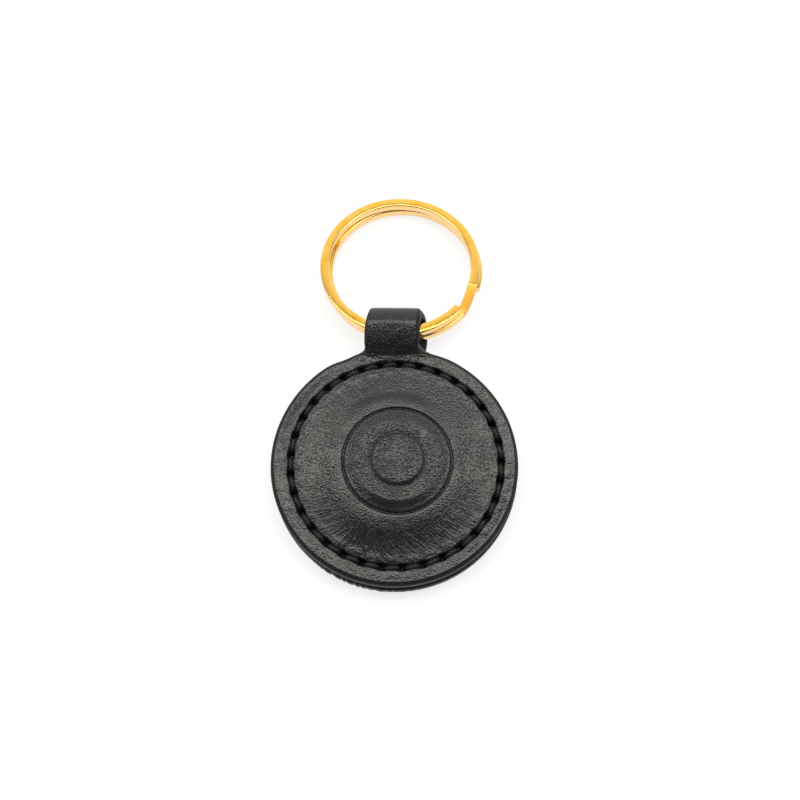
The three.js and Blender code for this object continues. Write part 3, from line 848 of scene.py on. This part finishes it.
# One closed sheet: polar faces above and below, a turned edge between them, and the strap where there is one
def leatherSheet(sheet):
    points, faces, finishes = [], [], []
    centres, hasStrap = sheet["centres"], sheet["hasStrap"]
    base = strap["rootZ"] if hasStrap else 0.0
    grainSide, edgeSide, fleshSide = 0, 1, 2
    upperSide, lowerSide = (grainSide, fleshSide) if hasStrap else (fleshSide, grainSide)

    def addPoints(x, y, w):
        first = sum(len(block) for block in points)
        placed = foldLeather(x, y, w) if hasStrap else np.stack([x, y, w], axis=-1)
        points.append(placed.reshape(-1, 3))
        return first

    def addFaces(block, finish, flip=False):
        block = block[:, ::-1] if flip else block
        faces.extend(block.tolist())
        finishes.extend([finish] * len(block))

    def discFace(rows, height, finish, flip):
        grid = np.array([discRow(r, centres) for r in rows])
        x, y = grid[:, 0], grid[:, 1]
        poleX, poleY = (np.array([c]) for c in centres[0][1])
        pole = addPoints(poleX, poleY, height(poleX, poleY) - base)
        first = addPoints(x, y, height(x, y) - base)
        column = np.arange(columnCount)
        after = (column + 1) % columnCount
        addFaces(np.stack([np.full(columnCount, pole), first + column, first + after], axis=1), finish, flip)
        addFaces(gridFaces(first, columnCount, len(rows), True), finish, flip)
        return first + (len(rows) - 1) * columnCount

    topRim = discFace(sheet["topRows"], sheet["topHeight"], upperSide, False)
    bottomRim = discFace(sheet["bottomRows"], sheet["bottomHeight"], lowerSide, True)
    loopX, loopY = rimX, rimY = discRow(sheet["topRows"][-1], centres)
    topW = rimTop = sheet["topHeight"](rimX, rimY) - base
    bottomW = rimBottom = sheet["bottomHeight"](rimX, rimY) - base
    around = np.arange(columnCount)
    topLoop, bottomLoop = topRim + around, bottomRim + around

    if hasStrap:
        gridX, gridY, gridTop, gridBottom, neck = strapGrid(rimX, rimY, rimTop, rimBottom)
        rows, width = gridX.shape
        top0, bottom0 = addPoints(gridX, gridY, gridTop), addPoints(gridX, gridY, gridBottom)
        column = np.arange(width - 1)
        starts = ((topRim, top0, upperSide, False), (bottomRim, bottom0, lowerSide, True))
        for start, first, finish, flip in starts:
            hem = np.stack([start + neck[:-1], first + column, first + column + 1, start + neck[1:]], axis=1)
            addFaces(hem, finish, flip)
            addFaces(gridFaces(first, width, rows, False), finish, flip)
        # once round the cut edge: disc, right side of the strap, its end, left side
        around = np.arange(neck[-1], neck[0] + columnCount + 1) % columnCount
        up = np.arange(rows)
        strapLoop = np.concatenate([
            up * width, (rows - 1) * width + np.arange(1, width), up[-2::-1] * width + width - 1])
        loopX, loopY, topW, bottomW = (
            np.concatenate([onDisc[around], onStrap.ravel()[strapLoop]]) for onDisc, onStrap in (
                (rimX, gridX), (rimY, gridY), (rimTop, gridTop), (rimBottom, gridBottom)))
        topLoop = np.concatenate([topRim + around, top0 + strapLoop])
        bottomLoop = np.concatenate([bottomRim + around, bottom0 + strapLoop])

    # the turned edge, outwards from the loop and down
    out = np.stack([np.roll(loopY, -1) - np.roll(loopY, 1), np.roll(loopX, 1) - np.roll(loopX, -1)], axis=1)
    out /= np.linalg.norm(out, axis=1)[:, None]
    rings = [topLoop]
    for away, w in edgeProfile(sheet["edgeSizes"](loopX, loopY), topW, bottomW):
        first = addPoints(loopX + out[:, 0] * away, loopY + out[:, 1] * away, w)
        rings.append(first + np.arange(len(loopX)))
    rings.append(bottomLoop)
    for depth, (upper, lower) in enumerate(zip(rings[:-1], rings[1:])):
        quad = np.stack([upper, lower, np.roll(lower, -1), np.roll(upper, -1)], axis=1)
        addFaces(quad, grainSide if depth < sheet["grainSteps"] else edgeSide)
    allPoints = np.concatenate(points)
    print(sheet["name"], len(allPoints), "points", len(faces), "faces")
    return makeMesh(sheet["name"], allPoints, faces, leatherFinishes, finishes, leatherMarks(allPoints))


# Radii of the grid's circles, from (start, end, steps)
def circles(*stretches):
    rows = [np.linspace(start, end, steps, endpoint=False) for start, end, steps in stretches]
    return np.concatenate(rows + [[stretches[-1][1]]])


hiddenCircles = ((0.5, 12.6, 2), (12.6, 13.3, 4), (13.3, 18.2, 6))

frontSheet = {
    "name": "front_leather",
    "hasStrap": True,
    "centres": [(0, boss["centre"]), (9.2, boss["centre"]), (stitches["radius"], stitches["centre"]),
                (disc["crease"], disc["centre"])],
    "topRows": circles(
        (0.5, 3.7, 5), (3.7, 4.8, 11), (4.8, 6.6, 6), (6.6, 8.3, 9), (8.3, 9.2, 12), (9.2, 11.4, 8),
        (11.4, 15.2, 15), (15.2, 18.1, 26), (18.1, disc["crease"], 9)),
    "bottomRows": circles(*hiddenCircles, (18.2, disc["crease"], 3)),
    "topHeight": frontTop,
    "bottomHeight": frontBottom,
    "edgeSizes": edgeSizesFront,
    "grainSteps": 1,  # rings of the edge that keep the grain
}

backSheet = {
    "name": "back_leather",
    "hasStrap": False,
    "centres": [(0, stitches["centre"]), (stitches["radius"], stitches["centre"]),
                (backDisc["crease"], backDisc["shift"])],
    "topRows": circles(*hiddenCircles, (18.2, backDisc["crease"], 3)),
    "bottomRows": circles((0.5, 15.2, 12), (15.2, 18.4, 28), (18.4, backDisc["crease"], 6)),
    "topHeight": backTop,
    "bottomHeight": backBottom,
    "edgeSizes": edgeSizesBack,
    "grainSteps": 6,
}

front, back = leatherSheet(frontSheet), leatherSheet(backSheet)
print("leather made")


# Geometry node helpers

def newTree(name, sockets):
    tree = bpy.data.node_groups.new(name, "GeometryNodeTree")
    tree.interface.new_socket(name="Geometry", in_out="INPUT", socket_type="NodeSocketGeometry")
    for kind, labels in sockets.items():
        for label in labels:
            tree.interface.new_socket(name=label, in_out="INPUT", socket_type="NodeSocket" + kind)
    tree.interface.new_socket(name="Geometry", in_out="OUTPUT", socket_type="NodeSocketGeometry")
    return tree, tree.nodes.new("NodeGroupInput").outputs


def endTree(tree, geometry, material):
    realized = addNode(tree, "GeometryNodeRealizeInstances", {0: geometry})
    coloured = addNode(tree, "GeometryNodeSetMaterial", {"Geometry": realized, "Material": material})
    addNode(tree, "NodeGroupOutput", {0: coloured})


def growTree(name, tree, values):
    seed = bpy.data.objects.new(name + "_seed", bpy.data.meshes.new(name + "_seed"))
    scene.collection.objects.link(seed)
    modifier = seed.modifiers.new("shape", "NODES")
    modifier.node_group = tree
    for item in tree.interface.items_tree:
        if item.in_out == "INPUT" and item.name in values:
            modifier[item.identifier] = values[item.name]
    seed.data.update()
    bpy.context.view_layer.update()
    evaluated = seed.evaluated_get(bpy.context.evaluated_depsgraph_get())
    mesh = bpy.data.meshes.new_from_object(evaluated)
    mesh.name = name
    seed.modifiers.remove(modifier)
    bpy.data.objects.remove(seed)
    made = bpy.data.objects.new(name, mesh)
    scene.collection.objects.link(made)
    print(name, len(mesh.vertices), "points")
    return made


def placePoints(geometry, position):
    return addNode(position.id_data, "GeometryNodeSetPosition", {"Geometry": geometry, "Position": position})


# Stitches: twisted plies that arch from hole to hole

stitchShape = {
    "Reach": 0.92,  # half the length between its feet
    "Drop": 1.5,
    "Ply": 0.195,
    "Lay": 0.195,  # distance of a ply from the middle of the thread
    "Twist": 1.7,
    "Plies": 3,
    "points": 26,
    "sides": 8,
    "archPower": 0.55,
    "wander": 0.06,  # radians
    "wanderSeed": 4,
    "upperHeight": 3.86,
    "lowerHeight": 0.47,
}


def stitchTree():
    shape = stitchShape
    tree, given = newTree("stitches", {
        "Int": ("Count", "Plies"),
        "Float": ("Circle", "First", "Reach", "Drop", "Ply", "Lay", "Twist", "Up"),
        "Vector": ("Centre",),
        "Material": ("Thread",),
    })
    line = addNode(tree, "GeometryNodeCurvePrimitiveLine", {"Start": (-1, 0, 0), "End": (1, 0, 0)})
    points = addNode(tree, "GeometryNodeResampleCurve", {"Curve": line, "Count": shape["points"]})
    plies = addNode(tree, "GeometryNodeDuplicateElements", {
        "Geometry": points, "Amount": given["Plies"]}, domain="SPLINE")
    share = addNode(tree, "GeometryNodeSplineParameter").outputs["Factor"]
    angle = times(minus(share, 0.5), math.pi)
    sine, cosine = calc("SINE", angle), calc("COSINE", angle)
    x = times(given["Reach"], sine)
    arch = calc("POWER", calc("MAXIMUM", cosine, 0.0), shape["archPower"])
    z = times(given["Drop"], minus(arch, 1.0))
    ply = calc("DIVIDE", plies.outputs["Duplicate Index"], given["Plies"])
    twisted = plus(ply, times(share, given["Twist"]))
    lay = times(twisted, 2 * math.pi)
    sideways = times(given["Lay"], calc("COSINE", lay))
    outwards = times(given["Lay"], calc("SINE", lay))
    position = addNode(tree, "ShaderNodeCombineXYZ", {
        "X": plus(x, times(outwards, sine)),
        "Y": sideways,
        "Z": plus(z, times(outwards, cosine)),
    })
    placed = placePoints(plies, position)
    section = addNode(tree, "GeometryNodeCurvePrimitiveCircle", {
        "Resolution": shape["sides"], "Radius": given["Ply"]})
    tube = addNode(tree, "GeometryNodeCurveToMesh", {
        "Curve": placed, "Profile Curve": section, "Fill Caps": True})
    smooth = addNode(tree, "GeometryNodeSetShadeSmooth", {"Geometry": tube})

    # one point between each two holes
    spots = addNode(tree, "GeometryNodePoints", {"Count": given["Count"]})
    index = addNode(tree, "GeometryNodeInputIndex")
    step = calc("DIVIDE", 2 * math.pi, given["Count"])
    turn = plus(given["First"], times(plus(index, 0.5), step))
    around = addNode(tree, "ShaderNodeCombineXYZ", {"X": calc("COSINE", turn), "Y": calc("SINE", turn)})
    onCircle = vectorCalc("SCALE", {0: around, "Scale": given["Circle"]})
    centred = vectorCalc("ADD", {0: onCircle, 1: given["Centre"]})
    scattered = placePoints(spots, centred)
    wander = addNode(tree, "FunctionNodeRandomValue", {
        2: -shape["wander"], 3: shape["wander"], "Seed": shape["wanderSeed"]}, data_type="FLOAT")
    flip = times(minus(1.0, given["Up"]), math.pi / 2)
    facing = addNode(tree, "ShaderNodeCombineXYZ", {
        "X": flip, "Z": plus(plus(turn, math.pi / 2), wander.outputs[1])})
    laid = addNode(tree, "GeometryNodeInstanceOnPoints", {
        "Points": scattered, "Instance": smooth, "Rotation": facing,
    })
    endTree(tree, laid, given["Thread"])
    return tree


stitchNodes = stitchTree()


def stitchRow(name, height, up):
    cx, cy = stitches["centre"]
    values = {key: stitchShape[key] * mm for key in ("Reach", "Drop", "Ply", "Lay")}
    values.update({
        "Count": stitches["count"],
        "Circle": stitches["radius"] * mm,
        "Centre": (cx * mm, cy * mm, height * mm),
        "First": math.radians(stitches["firstHole"]),
        "Twist": stitchShape["Twist"],
        "Plies": stitchShape["Plies"],
        "Up": up,
        "Thread": thread,
    })
    return growTree(name, stitchNodes, values)


upperStitches = stitchRow("upper_stitches", stitchShape["upperHeight"], 1.0)
lowerStitches = stitchRow("lower_stitches", stitchShape["lowerHeight"], -1.0)
print("stitches made")


# Split ring: two turns of flat wire with a crank between them

ringShape = {
    "Middle": 13.06,  # radius of the wire's middle
    "Width": 1.62,
    "Thickness": 1.45,
    "Seam": 0.12,
    "Corner": 0.25,
    "Shift": 0.5,  # the lower turn lies this far to the right of the upper one
    "Start": -376.0,  # degrees
    "CrankFrom": -41.0,
    "CrankTo": -18.0,
    "End": 320.0,
    "centreX": 0.95,
    "axis": (23.2, 3.82),
    "behindAxis": 0.78,
    "halfHeight": 1.51,
    "floorGap": 0.02,
    "points": 480,
    "cornerSteps": 4,
    "endZone": (0.0, 0.006),  # share of the wire over which a cut end is eased
    "endScale": (0.95, 1.0),
    "bentZone": (0.5, 0.4895),  # climb at which the bend starts
}


def ringTree():
    shape = ringShape
    tree, given = newTree("splitRing", {
        "Float": ("Middle", "Width", "Thickness", "Seam", "Corner", "Shift",
                  "Start", "CrankFrom", "CrankTo", "End", "Tilt"),
        "Vector": ("Place",),
        "Material": ("Wire",),
    })

    def mark(geometry, name, value):
        return addNode(tree, "GeometryNodeStoreNamedAttribute", {
            "Geometry": geometry, "Name": name, "Value": value,
        }, data_type="FLOAT", domain="POINT")

    line = addNode(tree, "GeometryNodeCurvePrimitiveLine", {"Start": (0, 0, 0), "End": (1, 0, 0)})
    points = addNode(tree, "GeometryNodeResampleCurve", {"Curve": line, "Count": shape["points"]})
    share = addNode(tree, "GeometryNodeSplineParameter").outputs["Factor"]
    sweep = minus(given["End"], given["Start"])
    turn = plus(given["Start"], times(share, sweep))
    # -0.5 on the lower turn, 0.5 on the upper one
    crank = (given["CrankFrom"], given["CrankTo"])
    climb = plus(*(mapRange(turn, crank, (-0.25, 0.25), kind) for kind in ("LINEAR", "SMOOTHSTEP")))
    x = times(given["Middle"], calc("COSINE", turn))
    position = addNode(tree, "ShaderNodeCombineXYZ", {
        "X": minus(x, times(climb, given["Shift"])),
        "Y": times(given["Middle"], calc("SINE", turn)),
        "Z": times(climb, plus(given["Thickness"], given["Seam"])),
    })
    placed = placePoints(points, position)
    upright = addNode(tree, "GeometryNodeSetCurveNormal", {"Curve": placed}, mode="Z_UP")
    # the crank is marked, because bending has dulled it
    onCrank = mapRange(calc("ABSOLUTE", climb), shape["bentZone"])
    dulled = mark(upright, "bent", onCrank)

    # the sides of the wire too, which get a paler tint as a painted highlight
    bar = addNode(tree, "GeometryNodeCurvePrimitiveQuadrilateral", {
        "Width": given["Width"], "Height": given["Thickness"]})
    section = addNode(tree, "GeometryNodeFilletCurve", {
        "Curve": bar, "Radius": given["Corner"], "Count": shape["cornerSteps"],
        "Limit Radius": True}, mode="POLY")
    place = addNode(tree, "ShaderNodeSeparateXYZ", {0: addNode(tree, "GeometryNodeInputPosition")})
    halfWidth = times(given["Width"], 0.5)
    sideZone = (minus(halfWidth, given["Corner"]), minus(halfWidth, times(given["Corner"], 0.5)))
    sideHighlightMask = mapRange(calc("ABSOLUTE", place.outputs["X"]), sideZone)
    marked = mark(section, "side", sideHighlightMask)

    # the cut ends are eased over their last millimetre
    fromEnd = calc("MINIMUM", share, minus(1.0, share))
    ease = mapRange(fromEnd, shape["endZone"], shape["endScale"], "SMOOTHERSTEP")
    wire = addNode(tree, "GeometryNodeCurveToMesh", {
        "Curve": dulled, "Profile Curve": marked, "Scale": ease, "Fill Caps": True})
    smooth = addNode(tree, "GeometryNodeSetShadeSmooth", {"Geometry": wire})
    lean = addNode(tree, "ShaderNodeCombineXYZ", {"X": given["Tilt"]})
    laid = addNode(tree, "GeometryNodeTransform", {
        "Geometry": smooth, "Translation": given["Place"], "Rotation": lean})
    endTree(tree, laid, given["Wire"])
    return tree


# The ring hangs in the fold and leans down to the floor
def makeRing():
    reach = ringShape["Middle"] - ringShape["behindAxis"]
    far = reach + ringShape["Middle"] + ringShape["Width"] / 2
    axisY, axisZ = ringShape["axis"]
    half = ringShape["halfHeight"]
    tilt = math.asin((axisZ - ringShape["floorGap"]) / math.hypot(far, half)) - math.atan2(half, far)
    values = {key: ringShape[key] * mm for key in ("Middle", "Width", "Thickness", "Seam", "Corner", "Shift")}
    values.update({key: math.radians(ringShape[key]) for key in ("Start", "CrankFrom", "CrankTo", "End")})
    values["Place"] = (ringShape["centreX"] * mm, (axisY + reach * math.cos(tilt)) * mm,
                       (axisZ - reach * math.sin(tilt)) * mm)
    values["Tilt"] = -tilt
    values["Wire"] = gold
    return growTree("gold_split_ring", ringTree(), values)


ring = makeRing()
print("ring made")


# Floor and light

floorLook = {
    "glow": 0.76,  # in pictures and reflections it glows and takes some shading
    "shading": (0.32, 0.32, 0.32, 1),
    "grey": (0.8, 0.8, 0.8, 1),  # to light that falls on it, it is plain grey
    "half": 3.0,  # metres
    "drop": 0.02,  # below the back face
}

studio = {
    "elevation": 74.2,  # of the softbox
    "distance": 0.45,  # metres
    "size": (0.56, 0.163),
    "aim": (0, 0.012, 0),
    "radiance": 5.0,
    "tint": (1.0, 0.975, 0.92),
    "behind": 1.1,  # world brightness towards +Y
    "behindZone": (0.42, 0.66),
    "before": 0.12,  # high up towards the camera
    "beforeLow": 0.6,  # and low down there
    "beforeZone": (0.05, 0.5),
    "sides": 0.8,  # towards -X and +X
    "sidesZone": (0.5, 0.85),
}


def makeFloor():
    material = bpy.data.materials.new("floor")
    material.use_nodes = True
    tree = material.node_tree
    tree.nodes.clear()
    path = addNode(tree, "ShaderNodeLightPath").outputs
    reflected = calc("MAXIMUM", path["Is Glossy Ray"], path["Is Transmission Ray"])
    seen = calc("MAXIMUM", path["Is Camera Ray"], reflected)
    glow = addNode(tree, "ShaderNodeEmission", {"Color": (1, 1, 1, 1), "Strength": floorLook["glow"]})
    shaded = addNode(tree, "ShaderNodeBsdfDiffuse", {"Color": floorLook["shading"]})
    lit = addNode(tree, "ShaderNodeAddShader", {0: glow, 1: shaded})
    plain = addNode(tree, "ShaderNodeBsdfDiffuse", {"Color": floorLook["grey"]})
    both = addNode(tree, "ShaderNodeMixShader", {0: seen, 1: plain, 2: lit})
    addNode(tree, "ShaderNodeOutputMaterial", {0: both})
    half = floorLook["half"]
    corners = [(-half, -half, 0), (half, -half, 0), (half, half, 0), (-half, half, 0)]
    mesh = bpy.data.meshes.new("floor")
    mesh.from_pydata(corners, [], [(0, 1, 2, 3)])
    mesh.materials.append(material)
    floor = bpy.data.objects.new("floor", mesh)
    floor.location.z = -floorLook["drop"] * mm
    scene.collection.objects.link(floor)


def placeSoftbox():
    data = bpy.data.lights.new("back_softbox", "AREA")
    width, depth = studio["size"]
    data.shape = "RECTANGLE"
    data.size, data.size_y = width, depth
    data.energy = studio["radiance"] * math.pi * width * depth
    data.color = studio["tint"]
    lamp = bpy.data.objects.new("back_softbox", data)
    scene.collection.objects.link(lamp)
    tip = math.radians(studio["elevation"])
    away = Vector((0, math.cos(tip), math.sin(tip)))
    lamp.location = away * studio["distance"] + Vector(studio["aim"])
    lamp.rotation_euler = away.to_track_quat("Z", "Y").to_euler()


def lightWorld():
    world = bpy.data.worlds.new("studio")
    scene.world = world
    world.use_nodes = True
    tree = world.node_tree
    direction = addNode(tree, "ShaderNodeTexCoord").outputs["Generated"]
    part = addNode(tree, "ShaderNodeSeparateXYZ", {0: direction}).outputs
    levels = (studio["beforeLow"], studio["before"])
    before = mapRange(part["Z"], studio["beforeZone"], levels, "SMOOTHSTEP")
    level = mapRange(part["Y"], studio["behindZone"], (before, studio["behind"]), "SMOOTHSTEP")
    aside = calc("ABSOLUTE", part["X"])
    sides = mapRange(aside, studio["sidesZone"], (0.0, studio["sides"]), "SMOOTHSTEP")
    level = calc("MAXIMUM", level, sides)
    seen = addNode(tree, "ShaderNodeLightPath").outputs["Is Camera Ray"]
    strength = calc("MAXIMUM", level, seen)
    feed(tree.nodes["Background"], {"Color": (1, 1, 1, 1), "Strength": strength})


makeFloor()
placeSoftbox()
lightWorld()
print("floor and light made")


# Finishes of the CAD nodes that stay, and what each piece stands for

innerFinishes = {
    "rim_adhesive": plainMaterial("cement", (0.5, 0.4, 0.18), (0.66, 0.56, 0.3), 0.8, 0.55),
    "tag_adhesive_pad": plainMaterial("adhesive_pad", (0.62, 0.58, 0.5), (0.72, 0.69, 0.62), 0.5, 0.6),
    "tag_back_cover": plainMaterial("tag_cover", (0.84, 0.84, 0.82), (0.9, 0.9, 0.885), 0.6, 0.4),
    "inlay_sheet": plainMaterial("inlay_film", (0.7, 0.76, 0.745), (0.78, 0.82, 0.81), 1.5, 0.25),
    "antenna_coil": plainMaterial("antenna_foil", (0.66, 0.67, 0.69), (0.77, 0.78, 0.8), 0.15, 0.34, 1.0),
    "nfc_chip": plainMaterial("chip", (0.01, 0.01, 0.011), (0.018, 0.018, 0.019), 0.2, 0.3),
}
innerFinishes["tag_front_cover"] = innerFinishes["tag_back_cover"]
innerFinishes["antenna_bridge"] = innerFinishes["antenna_coil"]
for node, finish in innerFinishes.items():
    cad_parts[node].data.materials.clear()
    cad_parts[node].data.materials.append(finish)

for piece, body, node, slot in (
    (front, "fob", "front_panel", "black_leather"),
    (back, "fob", "back_panel", "black_leather"),
    (upperStitches, "fob", "upper_thread", "black_thread"),
    (lowerStitches, "fob", "lower_thread", "black_thread"),
    (ring, "ring", "split_ring", "gold_ring"),
):
    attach(piece, body)
    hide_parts(node)

scene.view_settings.view_transform = "Standard"
print("scene ready")
